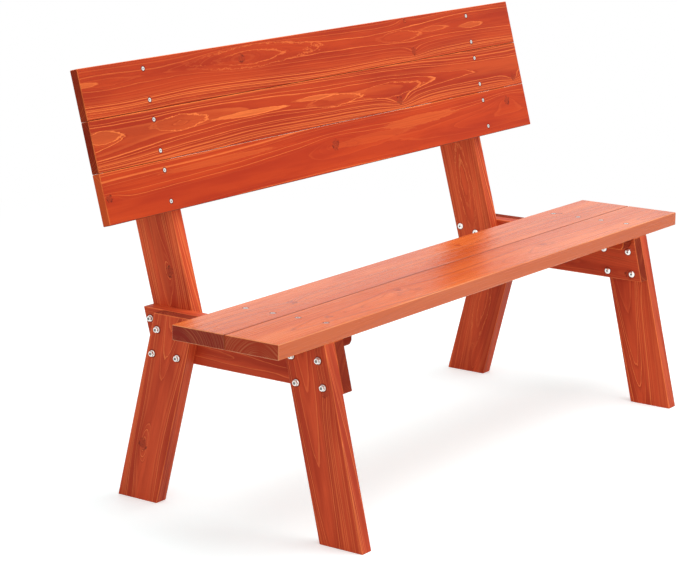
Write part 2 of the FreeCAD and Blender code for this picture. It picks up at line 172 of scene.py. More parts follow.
def group_of(name, inputs, outputs, kind="ShaderNodeTree"):
    """An empty group of nodes with its sockets."""
    group = bpy.data.node_groups.new(name, kind)
    for direction, sockets in (("INPUT", inputs), ("OUTPUT", outputs)):
        for socket, holds in sockets.items():
            group.interface.new_socket(socket, in_out=direction, socket_type="NodeSocket" + holds)
    return group, add(group, "NodeGroupInput").outputs, add(group, "NodeGroupOutput").inputs


class Sums:
    """Writes sums of sockets as plain arithmetic in one tree, of shaders or of geometry."""

    def __init__(self, tree):
        self.tree = tree

    def of(self, operation, *values):
        return add(self.tree, "ShaderNodeMath", dict(enumerate(values)), operation=operation).outputs[0]

    def minus(self, value, less):
        return self.of("SUBTRACT", value, less)

    def over(self, value, divisor):
        return self.of("DIVIDE", value, divisor)

    def diagonal(self, one, other):
        return self.of("SQRT", self.plus(self.times(one, one), self.times(other, other)))

    def times(self, *values):
        total = values[0]
        for value in values[1:]:
            total = self.of("MULTIPLY", total, value)
        return total

    def plus(self, *values):
        total = values[0]
        for value in values[1:]:
            total = self.of("ADD", total, value)
        return total

    def step(self, value, low, high, to_low=0.0, to_high=1.0):
        links = {0: value, 1: low, 2: high, 3: to_low, 4: to_high}
        return add(self.tree, "ShaderNodeMapRange", links, interpolation_type="SMOOTHSTEP").outputs[0]

    def noise(self, place, scale, detail=2.0, roughness=0.5):
        links = {"Vector": place, "Scale": scale, "Detail": detail, "Roughness": roughness}
        return add(self.tree, "ShaderNodeTexNoise", links).outputs

    def vector(self, operation, *values):
        return add(self.tree, "ShaderNodeVectorMath", dict(enumerate(values)), operation=operation).outputs

    def scaled(self, vector, factor):
        links = {0: vector, "Scale": factor}
        return add(self.tree, "ShaderNodeVectorMath", links, operation="SCALE").outputs[0]

    def xyz(self, x=0.0, y=0.0, z=0.0):
        return add(self.tree, "ShaderNodeCombineXYZ", {0: x, 1: y, 2: z}).outputs[0]

    def split(self, vector):
        return add(self.tree, "ShaderNodeSeparateXYZ", {0: vector}).outputs

    def stretch(self, place, along, across, shift=(0.0, 0.0, 0.0)):
        return self.vector("MULTIPLY_ADD", place, (along, across, across), shift)[0]

    def blend(self, amount, low, high):
        return add(self.tree, "ShaderNodeMix", {0: amount, 6: low, 7: high}, data_type="RGBA").outputs[2]

    def give(self, out, **values):
        """Links each value to the output of that name."""
        for socket, value in values.items():
            self.tree.links.new(value, out[socket])


# A branch that the log grew round: a slanted rod from the pith outwards, with the rings pushed out
# along it, harder wood inside and a dark line of bark round it.
knot_group, given, out = group_of(
    "branch_knot",
    {"Place": "Vector", "Along": "Float", "Turn": "Float", "Size": "Float", "Swirl": "Float"},
    {"Push": "Float", "Inside": "Float", "Bark": "Float", "Heart": "Float"})
sums = Sums(knot_group)
split = sums.split(given["Place"])
cosine, sine = sums.of("COSINE", given["Turn"]), sums.of("SINE", given["Turn"])
from_heart = sums.plus(sums.times(split[1], cosine), sums.times(split[2], sine))
beside = sums.minus(sums.times(split[2], cosine), sums.times(split[1], sine))
along = sums.minus(split[0], given["Along"])
ragged = sums.times(sums.minus(sums.noise(given["Place"], 60.0, 3.0)[0], 0.5), 1.1)
squeezed = sums.over(along, 1.3)
distance = sums.diagonal(squeezed, beside)
near = sums.plus(sums.over(distance, given["Size"]), ragged)
drawn_out = sums.over(along, 4.2)
reach = sums.diagonal(drawn_out, beside)
live = sums.step(from_heart, 0.0, 0.008)
fade = sums.of("EXPONENT", sums.times(sums.of("POWER", sums.over(reach, given["Size"]), 1.25), -0.6))
broken = sums.step(sums.noise(given["Place"], 150.0, 2.0)[0], 0.42, 0.6)
rings = sums.step(sums.of("FRACT", sums.times(near, 2.6)), 0.3, 0.9)
sums.give(out, Push=sums.times(fade, live, given["Size"], given["Swirl"]),
          Inside=sums.times(sums.step(near, 1.05, 0.7), live), Heart=sums.times(rings, broken),
          Bark=sums.times(sums.step(near, 0.7, 1.0), sums.step(near, 1.45, 1.05), live, broken))

# The log itself: rings round the pith that wander along its length, each with its own width and strength.
log_group, given, out = group_of(
    "softwood_log",
    {"Place": "Vector", "Push": "Float", "Ring Width": "Float", "Line Width": "Float", "Wander": "Float",
     "Seed": "Float"},
    dict.fromkeys(("Line", "Season", "Year", "Island", "Fibre", "Cloud", "Fleck"), "Float"))
sums = Sums(log_group)
shift = sums.xyz(given["Seed"], given["Seed"], given["Seed"])
bow = sums.noise(sums.stretch(given["Place"], 1.9, 8.0, shift), 1.0, 0.0)[1]
ripple = sums.noise(sums.stretch(given["Place"], 6.5, 34.0, shift), 1.0, 2.0, 0.5)[1]
ripple = sums.vector("MULTIPLY_ADD", ripple, (0.07, 0.07, 0.07), (-0.035, -0.035, -0.035))[0]
drift = sums.vector("ADD", sums.vector("SUBTRACT", bow, (0.5, 0.5, 0.5))[0], ripple)[0]
drift = sums.scaled(drift, given["Wander"])
across = sums.vector("MULTIPLY", sums.vector("ADD", given["Place"], drift)[0], (0.0, 1.0, 1.0))[0]
from_pith = sums.vector("LENGTH", across)["Value"]
sideways = sums.of("ABSOLUTE", sums.split(across)[1])
steepness = sums.plus(sums.over(sideways, from_pith), 0.10)
radius = sums.minus(from_pith, given["Push"])
ragged = sums.noise(sums.stretch(given["Place"], 22.0, 210.0, shift), 1.0, 2.0)[0]
radius = sums.plus(radius, sums.times(sums.minus(ragged, 0.5), 0.0007))
count = sums.over(radius, given["Ring Width"])
years = {"W": sums.plus(count, given["Seed"]), "Scale": 0.4, "Detail": 1.0}
good_years = add(log_group, "ShaderNodeTexNoise", years, noise_dimensions="1D").outputs[0]
count = sums.plus(count, sums.times(good_years, 3.0))
season = sums.of("FRACT", count)
number = {"W": sums.plus(sums.of("FLOOR", count), given["Seed"])}
year = add(log_group, "ShaderNodeTexWhiteNoise", number, noise_dimensions="1D").outputs[0]
thin = sums.over(sums.times(steepness, given["Line Width"]), given["Ring Width"])
thin = sums.of("MINIMUM", thin, 0.55)
into_line = sums.step(season, sums.minus(1.0, thin), sums.minus(1.0, sums.times(thin, 0.3)))
out_of_line = sums.step(season, 1.0, sums.minus(1.0, sums.times(thin, 0.15)))
rare = sums.step(sums.of("FRACT", sums.times(year, 7.3)), 0.88, 0.92)
level_grain = sums.times(rare, sums.step(steepness, 0.45, 0.3), sums.step(season, 0.0, 0.15))
fibre = sums.noise(sums.stretch(given["Place"], 7.0, 520.0, shift), 1.0, 3.0, 0.6)[0]
cloud = sums.noise(sums.stretch(given["Place"], 2.6, 26.0, shift), 1.0, 3.0, 0.6)[0]
fleck = sums.noise(sums.stretch(given["Place"], 70.0, 1400.0, shift), 1.0, 1.0)[0]
sums.give(out, Line=sums.times(into_line, out_of_line), Season=season, Year=year, Island=level_grain,
          Fibre=fibre, Cloud=cloud, Fleck=fleck)

# Where the plane only just skimmed a ring, it leaves a pointed patch with a jagged pale rim, and the rings
# beside it bend round it.
skim_group, given, out = group_of(
    "skimmed_ring",
    {"Place": "Vector", "Along": "Float", "Across": "Float", "Length": "Float", "Width": "Float"},
    {"Inside": "Float", "Rim": "Float", "Push": "Float"})
sums = Sums(skim_group)
split = sums.split(given["Place"])
jagged = sums.noise(sums.stretch(given["Place"], 44.0, 170.0), 1.0, 4.0, 0.65)[0]
along = sums.over(sums.minus(split[0], given["Along"]), given["Length"])
across = sums.over(sums.minus(split[1], given["Across"]), given["Width"])
pointed = sums.plus(sums.of("POWER", sums.of("ABSOLUTE", along), 1.15), sums.times(across, across))
outline = sums.plus(pointed, sums.times(sums.minus(jagged, 0.5), 1.1))
rim_width = 0.0016
thin = sums.over(rim_width, given["Width"])
inner = sums.step(outline, sums.plus(1.0, sums.times(thin, -1.3)), sums.plus(1.0, sums.times(thin, -0.4)))
outer = sums.step(outline, sums.plus(1.0, thin), sums.plus(1.0, sums.times(thin, 0.2)))
sums.give(out, Inside=sums.step(outline, 1.0, 0.9),
          Rim=sums.times(inner, outer, sums.step(along, -1.0, -0.2, 0.25, 1.0)),
          Push=sums.times(given["Width"], 0.22, sums.of("EXPONENT", sums.times(pointed, -0.8))))


def stained_timber(name, middle, run, face, heart, tilt, seed, knots, colours, ring=0.0042, wander=0.03,
                   line=0.85, gloss=0.5, shine=0.12, end=None, sunk=None, bolted=None, shade_and_stain_side=0,
                   long_edge_shade=0.0, ring_colour=None, line_width=0.0022, relief=0.4, skims=()):
    """Stained softwood for one plank, cut along run, with its showing face round a middle point.

    The heart of the log lies so far behind that face and across it, and tilts a little as it runs.
    Each knot is (how far along, how far across, radius, swirl), and each skim is (how far along, how far
    across, half its length, half its width, how light it is, how light its rim is). sunk is how far along
    and across the screws sit either side of the middle, and the radius of their sunk holes; a dark ring round
    each hole is painted shade of the countersink, with the wood dented dark by the heads. bolted is the group
    that paints a contact shadow on the wood round the bolts. pooled is 1 or -1 for the side whose arris is
    darkened with painted shade and with stain gathered in it, and soaked is how far the long edges are
    darkened again: painted shade against the lighter colours that paint in a seat's sheen.
    """
    soft, deep, pale, knot_wood, bark, plain_end = colours
    end = end or plain_end
    wood, tree = bare_material(name)
    sums = Sums(tree)
    coordinates = add(tree, "ShaderNodeTexCoord").outputs
    run, face, middle = Vector(run).normalized(), Vector(face).normalized(), Vector(middle)
    side = face.cross(run)
    pith = middle - face * heart[0] + side * heart[1]
    level = Matrix((run, side, face)).to_4x4()
    to_log = Matrix.Rotation(tilt[0], 4, "Y") @ Matrix.Rotation(tilt[1], 4, "Z") @ level
    links = {"Vector": coordinates["Object"], "Location": -(to_log @ pith), "Rotation": to_log.to_euler()}
    place = add(tree, "ShaderNodeMapping", links).outputs[0]
    push, inside, bark_line, ring_marks = 0.0, 0.0, 0.0, 0.0
    for distance, offset, size, swirl in knots:
        turn = math.atan2(heart[0], offset - heart[1])
        links = {"Place": place, "Along": distance, "Turn": turn, "Size": size, "Swirl": swirl}
        knot = add(tree, "ShaderNodeGroup", links, node_tree=knot_group).outputs
        push = sums.plus(push, knot["Push"])
        ring_marks = sums.plus(ring_marks, sums.times(knot["Inside"], knot["Heart"]))
        inside = sums.of("MAXIMUM", inside, knot["Inside"])
        bark_line = sums.of("MAXIMUM", bark_line, knot["Bark"])
    skimmed, rims, light = 0.0, 0.0, 0.0
    for distance, offset, long, wide, lightness, rim in skims:
        links = {"Place": place, "Along": distance, "Across": offset - heart[1], "Length": long,
                 "Width": wide}
        patch = add(tree, "ShaderNodeGroup", links, node_tree=skim_group).outputs
        push = sums.plus(push, patch["Push"])
        skimmed = sums.of("MAXIMUM", skimmed, patch["Inside"])
        rims = sums.of("MAXIMUM", rims, sums.times(patch["Rim"], rim))
        light = sums.of("MAXIMUM", light, sums.times(patch["Inside"], lightness))
    links = {"Place": place, "Push": push, "Ring Width": ring, "Line Width": line_width, "Wander": wander,
             "Seed": seed}
    grain = add(tree, "ShaderNodeGroup", links, node_tree=log_group).outputs

    late = sums.times(grain["Line"], sums.step(grain["Year"], 0.15, 0.85, 0.15, 1.0))
    early = sums.step(grain["Season"], 0.32, 0.0)
    body = sums.blend(sums.step(grain["Cloud"], 0.34, 0.64), deep, soft)
    body = sums.blend(sums.times(early, 0.5), body, deep)
    if skims:
        late = sums.times(late, sums.plus(1.0, sums.times(skimmed, -0.8)))
        late = sums.of("MAXIMUM", late, rims)
        body = sums.blend(light, body, pale)
    body = sums.blend(sums.times(grain["Island"], 0.12), body, pale)
    streaks = sums.times(sums.step(grain["Fibre"], 0.45, 0.75), sums.minus(1.0, late), 0.35)
    colour = sums.blend(streaks, body, deep)
    colour = sums.blend(sums.times(late, line), colour, ring_colour or pale)
    if knots:
        colour = sums.blend(sums.times(inside, 0.8), colour, knot_wood)
        colour = sums.blend(sums.times(ring_marks, 0.5), colour, bark)
        colour = sums.blend(sums.times(bark_line, 0.85), colour, bark)
    flat = [sums.of("ABSOLUTE", sums.vector("DOT_PRODUCT", coordinates["Normal"], way)["Value"])
            for way in (run, side, face)]
    squareness = sums.of("MAXIMUM", sums.of("MAXIMUM", flat[0], flat[1]), flat[2])
    eased = sums.step(squareness, 0.9, 0.78)
    worn = sums.times(eased, sums.step(grain["Cloud"], 0.35, 0.6, 0.35, 0.8))
    colour = sums.blend(worn, colour, pale)
    # One side's arris darkened: painted shade, with stain gathered in it.
    if shade_and_stain_side:
        under = sums.step(sums.vector("DOT_PRODUCT", coordinates["Normal"], side * shade_and_stain_side)["Value"], 0.2, 0.5)
        colour = sums.blend(sums.times(eased, under, 0.85), colour, bark)
    # The long edges darkened towards the deep colour: painted shade against the lighter top colours that
    # paint in a sheen.
    colour = sums.blend(sums.times(sums.step(flat[1], 0.6, 0.9), long_edge_shade), colour, deep)
    cut_end = sums.step(flat[0], 0.6, 0.9)
    ring_end = sums.blend(sums.times(grain["Line"], 0.16), end, pale)
    colour = sums.blend(sums.times(cut_end, 0.92), colour, ring_end)
    height = sums.plus(sums.times(grain["Fibre"], 0.35), sums.times(late, 0.9),
                       sums.times(grain["Fleck"], 0.35))
    if sunk:
        apart, beside, hole = sunk
        from_middle = sums.vector("SUBTRACT", coordinates["Object"], middle)[0]
        along = sums.of("ABSOLUTE", sums.vector("DOT_PRODUCT", from_middle, run)["Value"])
        across = sums.of("ABSOLUTE", sums.vector("DOT_PRODUCT", from_middle, side)["Value"])
        around = sums.diagonal(sums.minus(along, apart), sums.minus(across, beside))
        # A dark ring round each screw hole: painted shade of the countersink, with the wood dented dark by
        # the heads.
        countersink_shade_ring = sums.step(around, hole * 1.75, hole * 1.2)
        colour = sums.blend(sums.times(countersink_shade_ring, 0.8), colour, bark)
        height = sums.minus(height, sums.times(countersink_shade_ring, 1.5))
    # A painted contact shadow round the bolts.
    if bolted:
        marked = add(tree, "ShaderNodeGroup", node_tree=bolted).outputs[0]
        colour = sums.blend(sums.times(marked, 0.7), colour, bark)
    bump = add(tree, "ShaderNodeBump", {"Height": height, "Distance": 0.00035, "Strength": relief})
    rough = sums.plus(sums.times(grain["Fibre"], 0.16), sums.times(cut_end, 0.5), sums.times(late, -0.06),
                      gloss - 0.08)
    links = {"Base Color": colour, "Roughness": rough, "Normal": bump.outputs[0],
             "Specular IOR Level": shine}
    surface = add(tree, "ShaderNodeBsdfPrincipled", links)
    add(tree, "ShaderNodeOutputMaterial", {"Surface": surface.outputs[0]})
    return wood


def finish_node(name, material):
    """Gives a frame piece its finish."""
    piece = nodes[name]
    piece.data.materials.clear()
    piece.data.materials.append(material)


along_bench = Vector((1.0, 0.0, 0.0))
back_lean = math.radians(15)
lean_up = Vector((0.0, math.sin(back_lean), math.cos(back_lean)))
lean_front = Vector((0.0, -math.cos(back_lean), math.sin(back_lean)))
pivot = Vector((0.0, 0.239733, 0.6886))
board_face = 0.0584
board_pitch = 0.1019
lowest_middle = -0.06
board_screws = (0.5875, 0.0313, 0.0041)
back_colours = (stain(190, 64, 25), stain(168, 48, 19), stain(244, 128, 62), stain(168, 56, 24),
                stain(96, 26, 13), stain(132, 38, 20))


def board_middle(row):
    """The middle of the front face of a back board, row nought the lowest."""
    return pivot + lean_front * board_face + lean_up * (row * board_pitch + lowest_middle)


finish_node("back_board_upper", stained_timber(
    "upper_board_stain", board_middle(2), along_bench, lean_front, (0.050, 0.014), (0.009, 0.004), 3.1,
    [(-0.279, 0.018, 0.0075, 3.4), (0.332, 0.046, 0.004, 1.4), (0.345, -0.030, 0.006, 1.6)],
    back_colours, ring=0.0027, wander=0.024, line=0.7, sunk=board_screws, shade_and_stain_side=-1,
    skims=[(0.298, 0.011, 0.085, 0.013, 0.03, 0.6), (0.600, 0.012, 0.050, 0.007, 0.25, 0.7),
           (-0.765, 0.014, 0.040, 0.005, 0.4, 0.5), (-0.250, 0.018, 0.110, 0.015, 0.0, 0.7),
           (-0.230, 0.020, 0.220, 0.024, 0.0, 0.7), (0.440, 0.017, 0.060, 0.006, 0.1, 0.6)]))
finish_node("back_board_middle", stained_timber(
    "middle_board_stain", board_middle(1), along_bench, lean_front, (0.054, 0.010), (-0.008, 0.004), 8.4,
    [(0.251, -0.028, 0.007, 2.0), (0.740, -0.024, 0.006, 1.6)],
    back_colours, ring=0.0032, wander=0.026, end=stain(122, 30, 16), sunk=board_screws, shade_and_stain_side=-1,
    skims=[(-0.511, 0.014, 0.085, 0.016, 0.08, 1.0), (-0.287, 0.006, 0.118, 0.006, 0.65, 1.0),
           (-0.060, 0.012, 0.070, 0.005, 0.5, 0.8), (0.010, -0.002, 0.095, 0.013, 0.05, 1.0),
           (0.215, -0.002, 0.130, 0.017, 0.0, 0.7), (-0.745, 0.012, 0.055, 0.013, 0.15, 1.0)]))
lower_colours = (stain(199, 67, 23), stain(178, 51, 18)) + back_colours[2:]
finish_node("back_board_lower", stained_timber(
    "lower_board_stain", board_middle(0), along_bench, lean_front, (0.060, -0.020), (0.008, -0.008), 12.9,
    [(-0.760, 0.004, 0.006, 1.8), (-0.020, 0.006, 0.0085, 2.0), (0.690, 0.018, 0.0075, 2.0)],
    lower_colours, ring=0.0044, wander=0.030, line=0.6, end=stain(196, 78, 38), sunk=board_screws, shade_and_stain_side=-1,
    skims=[(0.310, 0.017, 0.150, 0.012, 0.26, 0.3), (-0.420, 0.030, 0.180, 0.007, 0.2, 0.2),
           (0.120, 0.002, 0.160, 0.010, 0.12, 0.2)]))

# Seat
# Two planed boards, 30 by 126 mm, with the same stain and a little more shine from use. Their colours are
# lighter than the back's, a painted sheen on the top, and their long edges are painted darker again. A flat
# batten lies under them beside each crosspiece.
# The seat's colours are lighter than the back boards', painting in the sheen of its top; its ring lines are
# darker for the same sheen.
sheen_seat_colours = (stain(228, 116, 54), stain(208, 94, 40), stain(250, 170, 112), stain(190, 76, 38),
                stain(112, 30, 14), stain(122, 12, 4))
sheen_seat_rings = stain(150, 42, 16)
seat_top = 0.426
front_row, rear_row = -0.1857, -0.0586
batten_x, batten_row, batten_under = 0.553, -0.12, 0.375
both_ends = (("left", -1), ("right", 1))
seat_screws = (0.587, 0.0333, 0.0048)
seat_wood = dict(ring=0.0038, wander=0.030, line=0.85, gloss=0.26, shine=0.27, long_edge_shade=0.8, relief=0.9,
                 ring_colour=sheen_seat_rings, line_width=0.0030, sunk=seat_screws)
finish_node("seat_board_front", stained_timber(
    "front_seat_stain", (0.0, front_row, seat_top), along_bench, (0, 0, 1), (0.060, -0.030), (0.010, 0.008),
    21.7, [(-0.281, 0.008, 0.007, 2.2), (0.275, 0.007, 0.0065, 2.2), (-0.545, -0.015, 0.006, 2.0)],
    sheen_seat_colours, end=stain(149, 34, 6), shade_and_stain_side=1, **seat_wood))
finish_node("seat_board_rear", stained_timber(
    "rear_seat_stain", (0.0, rear_row, seat_top), along_bench, (0, 0, 1), (0.050, 0.045), (-0.010, 0.008),
    26.3, [(-0.495, -0.019, 0.007, 2.2), (0.150, 0.020, 0.006, 2.0), (0.596, 0.030, 0.006, 2.0)],
    sheen_seat_colours, shade_and_stain_side=-1, **seat_wood))
for end_name, sign in both_ends:
    finish_node("seat_batten_" + end_name, stained_timber(
        "seat_batten_stain_" + end_name, (sign * batten_x, batten_row, batten_under), (0, 1, 0), (0, 0, -1),
        (0.06, 0.01), (0.01, 0.0), 31.0 + sign, [(0.04, 0.0, 0.006, 1.5)], back_colours))

# End frames
# Each is two splayed legs, a crosspiece under the seat and a leaning post, all of 30 by 99 mm planed
# softwood, bolted face to face. The cleats and battens that carry the back boards are the same wood.
frame_colours = (stain(210, 80, 44), stain(172, 54, 28), stain(240, 126, 70), stain(168, 58, 32),
                 stain(106, 32, 18), stain(124, 38, 22))


def slope(degrees):
    """The way a splayed leg runs, so many degrees back from plumb."""
    return Vector((0.0, math.sin(math.radians(degrees)), math.cos(math.radians(degrees))))


def solids_of(node):
    """The corners of each separate solid of a frame piece."""
    shape = bmesh.new()
    shape.from_mesh(nodes[node].data)
    bmesh.ops.remove_doubles(shape, verts=shape.verts, dist=1e-6)
    solids, seen = [], set()
    for first in shape.verts:
        if first in seen:
            continue
        seen.add(first)
        found, front = [], [first]
        while front:
            corner = front.pop()
            found.append(corner.co.copy())
            for edge in corner.link_edges:
                beside = edge.other_vert(corner)
                if beside not in seen:
                    seen.add(beside)
                    front.append(beside)
        solids.append(found)
    shape.free()
    return solids


def middle_of(corners):
    return sum(corners, Vector()) / len(corners)


# Round each bolt the wood is darkened for a few millimetres: a painted contact shadow of the washers and
# heads.
bolt_shadows, _, out = group_of("bolt_shadows", {}, {"Mark": "Float"})
sums = Sums(bolt_shadows)
split = sums.split(add(bolt_shadows, "ShaderNodeTexCoord").outputs["Object"])
nearest = 1.0
for bolt in solids_of("frame_bolts_left"):
    middle = middle_of(bolt)
    away = sums.diagonal(sums.minus(split[1], middle.y), sums.minus(split[2], middle.z))
    nearest = sums.of("MINIMUM", nearest, away)
sums.give(out, Mark=sums.step(nearest, 0.0098, 0.0076))

left_face = Vector((-1.0, 0.0, 0.0))
front_splay, rear_splay = 13.0, -14.4
# Where on each plank its log is laid out from, as (how far back, how high).
front_leg_at, rear_leg_at, crosspiece_at = (-0.245, 0.2), (0.17, 0.2), (-0.04, 0.346)
post_at, cleat_at, end_batten_at = (0.20, 0.50), (0.26, 0.72), (0.22, 0.73)
end_batten_x = 0.7015
# The posts take lighter colours than the rest of the frame: painted light that makes up for the back's shade
# on them.
lit_post_colours = (stain(222, 88, 48), stain(182, 60, 32)) + frame_colours[2:]
nested_rings = [(-0.02, 0.0, 0.060, 0.011, 0.0, 0.8), (-0.03, 0.0, 0.110, 0.021, 0.0, 0.7)]
for end_name, leg_x, rail_x, post_x, cleat_x in (("left", -0.632, -0.602, -0.572, -0.6025),
                                                 ("right", 0.602, 0.572, 0.542, 0.5725)):
    seed = leg_x
    at_right = end_name == "right"
    finish_node("front_leg_" + end_name, stained_timber(
        "front_leg_stain_" + end_name, (leg_x, *front_leg_at), slope(front_splay), left_face,
        (0.040, 0.018), (0.030, 0.020), 41.0 + seed, [(0.10, -0.030, 0.005, 1.5)], frame_colours,
        ring=0.0030, wander=0.02, line=0.85, bolted=bolt_shadows))
    finish_node("rear_leg_" + end_name, stained_timber(
        "rear_leg_stain_" + end_name, (leg_x, *rear_leg_at), slope(rear_splay), left_face, (0.045, -0.010),
        (0.035, -0.020), 47.0 + seed, [] if at_right else [(-0.085, 0.012, 0.008, 1.8)], frame_colours,
        ring=0.0032, wander=0.024, line=0.85, bolted=bolt_shadows, skims=nested_rings if at_right else []))
    finish_node("crosspiece_" + end_name, stained_timber(
        "crosspiece_stain_" + end_name, (rail_x, *crosspiece_at), (0, 1, 0), left_face, (0.050, 0.020),
        (0.015, 0.02), 53.0 + seed, [(-0.20, 0.030, 0.008, 1.8)], frame_colours, ring=0.0040, wander=0.024,
        line=0.65, bolted=bolt_shadows))
    finish_node("back_post_" + end_name, stained_timber(
        "post_stain_" + end_name, (post_x, *post_at), lean_up, left_face, (0.034, 0.004),
        (0.030, 0.012), 59.0 + seed, [] if at_right else [(-0.035, -0.012, 0.0075, 1.8)], lit_post_colours,
        ring=0.0028, wander=0.018, line=0.9, bolted=bolt_shadows, skims=nested_rings if at_right else []))
    finish_node("back_cleat_" + end_name, stained_timber(
        "cleat_stain_" + end_name, (cleat_x, *cleat_at), lean_up, left_face, (0.045, 0.015), (0.020, 0.010),
        65.0 + seed, [(0.08, 0.02, 0.007, 1.6)], frame_colours, ring=0.0036))
    finish_node("end_batten_" + end_name, stained_timber(
        "end_batten_stain_" + end_name, (end_batten_x if at_right else -end_batten_x, *end_batten_at),
        lean_up, -lean_front, (0.05, 0.01), (0.01, 0.01), 71.0 + seed, [], back_colours,
        end=stain(140, 40, 20)))

# Screws
# Countersunk steel screws, zinc plated, with a cross recess and a coarse thread. Two hold each board of
# the back to each cleat, four each end of the seat, and shorter ones the battens, from behind or below.


def plated_steel(name, colour, roughness):
    """Zinc plate: bright, with a fine mottle, dull patches, and painted shade with grease and dirt where the
    piece is marked for it.
    """
    steel, tree = bare_material(name)
    sums = Sums(tree)
    place = add(tree, "ShaderNodeTexCoord").outputs["Object"]
    grime_and_shade = add(tree, "ShaderNodeAttribute", attribute_name="grime_and_shade").outputs["Fac"]
    mottle = sums.noise(place, 900.0, 3.0, 0.6)[0]
    patch = sums.noise(place, 160.0, 2.0, 0.5)[0]
    dull = tuple(0.86 * c for c in colour[:3]) + (1.0,)
    tone = sums.blend(sums.step(patch, 0.35, 0.75), colour, dull)
    # Marked faces, in recesses and at the bolts' ends, turn dark brown-grey: painted shade, with grease and
    # dirt.
    tone = sums.blend(sums.times(grime_and_shade, 0.9), tone, stain(58, 44, 38))
    rough = sums.plus(sums.times(mottle, 0.2), sums.times(grime_and_shade, 0.25), roughness - 0.1)
    metal = sums.plus(1.0, sums.times(grime_and_shade, -0.8))
    bump = add(tree, "ShaderNodeBump", {"Height": mottle, "Distance": 0.0001, "Strength": 0.2})
    links = {"Base Color": tone, "Metallic": metal, "Roughness": rough, "Normal": bump.outputs[0]}
    surface = add(tree, "ShaderNodeBsdfPrincipled", links)
    add(tree, "ShaderNodeOutputMaterial", {"Surface": surface.outputs[0]})
    return steel


def length_of(tree, sides, low, high, depth, start=0.0):
    """A round length of metal that starts at a depth, its radius going from low to high."""
    sizes = {"Vertices": sides, "Radius Bottom": low, "Radius Top": high, "Depth": depth}
    shape = add(tree, "GeometryNodeMeshCone", sizes).outputs[0]
    return add(tree, "GeometryNodeTransform", {0: shape, "Translation": Sums(tree).xyz(z=start)}).outputs[0]


def cut_by(tree, shape, *cutters):
    """A shape less its cutters. The faces that they leave are marked for painted shade with grease and dirt.
    """
    cut = add(tree, "GeometryNodeMeshBoolean", {"Mesh 1": shape}, operation="DIFFERENCE", solver="EXACT")
    for cutter in cutters:
        mark = {"Geometry": cutter, "Name": "grime_and_shade", "Value": 1.0}
        grimy_shaded = add(tree, "GeometryNodeStoreNamedAttribute", mark, data_type="FLOAT", domain="FACE")
        tree.links.new(grimy_shaded.outputs[0], cut.inputs["Mesh 2"])
    return cut.outputs[0]


def joined(tree, *shapes):
    join = add(tree, "GeometryNodeJoinGeometry")
    for shape in shapes:
        tree.links.new(shape, join.inputs[0])
    return join.outputs[0]


def stood(tree, given, shape, places, scale=(1.0, 1.0, 1.0)):
    """The shape at each place, pointing along Into, and each turned by its own chance."""
    facing = add(tree, "FunctionNodeAlignRotationToVector", {"Vector": given["Into"]}, axis="Z").outputs[0]
    links = {"Points": places, "Instance": shape, "Rotation": facing, "Scale": scale}
    copies = add(tree, "GeometryNodeInstanceOnPoints", links).outputs[0]
    chance = add(tree, "FunctionNodeRandomValue", {2: 0.0, 3: math.tau, 8: 5}).outputs[1]
    links = {"Instances": copies, "Rotation": Sums(tree).xyz(z=chance)}
    return add(tree, "GeometryNodeRotateInstances", links).outputs[0]


def finished(tree, given, out, shape):
    """Ends a tree with real, smooth faces in the finish given."""
    real = add(tree, "GeometryNodeRealizeInstances", {0: shape}).outputs[0]
    smooth = add(tree, "GeometryNodeSetShadeSmooth", {0: real}).outputs[0]
    done = add(tree, "GeometryNodeSetMaterial", {"Geometry": smooth, "Material": given["Finish"]})
    tree.links.new(done.outputs[0], out[0])


def set_of(name, *sizes):
    """An empty tree for a set of fixings, with its sockets and one for each size."""
    inputs = {"Places": "Geometry", "Into": "Vector", "Finish": "Material"} | dict.fromkeys(sizes, "Float")
    return group_of(name, inputs, {"Set": "Geometry"}, "GeometryNodeTree")


screw_tree, given, out = set_of("cross_screws", "Head", "Shank", "Length")
sums = Sums(screw_tree)
wide, narrow = sums.times(given["Head"], 0.5), sums.times(given["Shank"], 0.5)
sink = sums.minus(wide, narrow)
core = sums.times(given["Shank"], 0.36)
head = length_of(screw_tree, 28, wide, narrow, sink)
long_arm, thin_arm = sums.times(given["Head"], 0.56), sums.times(given["Head"], 0.12)
deep_arm = sums.times(sink, 1.7)
arms = []
for length, width in ((long_arm, thin_arm), (thin_arm, long_arm)):
    size = sums.xyz(length, width, deep_arm)
    arms.append(add(screw_tree, "GeometryNodeMeshCube", {"Size": size}).outputs[0])
head = cut_by(screw_tree, head, *arms)
shank_end = sums.minus(given["Length"], given["Shank"])
shank_length = sums.minus(shank_end, sink)
shank = length_of(screw_tree, 12, core, core, shank_length, sums.plus(sink, -0.0001))
point = length_of(screw_tree, 12, sums.times(core, 0.97), 0.0004, sums.plus(given["Shank"], 0.0004),
                  sums.plus(shank_end, -0.0004))
turns = sums.over(shank_length, sums.times(given["Shank"], 0.45))
helix = {"Resolution": 12, "Rotations": turns, "Start Radius": core, "End Radius": core,
         "Height": shank_length}
helix = add(screw_tree, "GeometryNodeCurveSpiral", helix).outputs[0]
ridge = {"Resolution": 3, "Radius": sums.times(given["Shank"], 0.13)}
ridge = add(screw_tree, "GeometryNodeCurvePrimitiveCircle", ridge).outputs[0]
thread = add(screw_tree, "GeometryNodeCurveToMesh", {0: helix, 1: ridge, "Fill Caps": True}).outputs[0]
thread = {"Geometry": thread, "Translation": sums.xyz(z=sink)}
thread = add(screw_tree, "GeometryNodeTransform", thread).outputs[0]
screw = joined(screw_tree, head, shank, point, thread)
finished(screw_tree, given, out, stood(screw_tree, given, screw, given["Places"]))


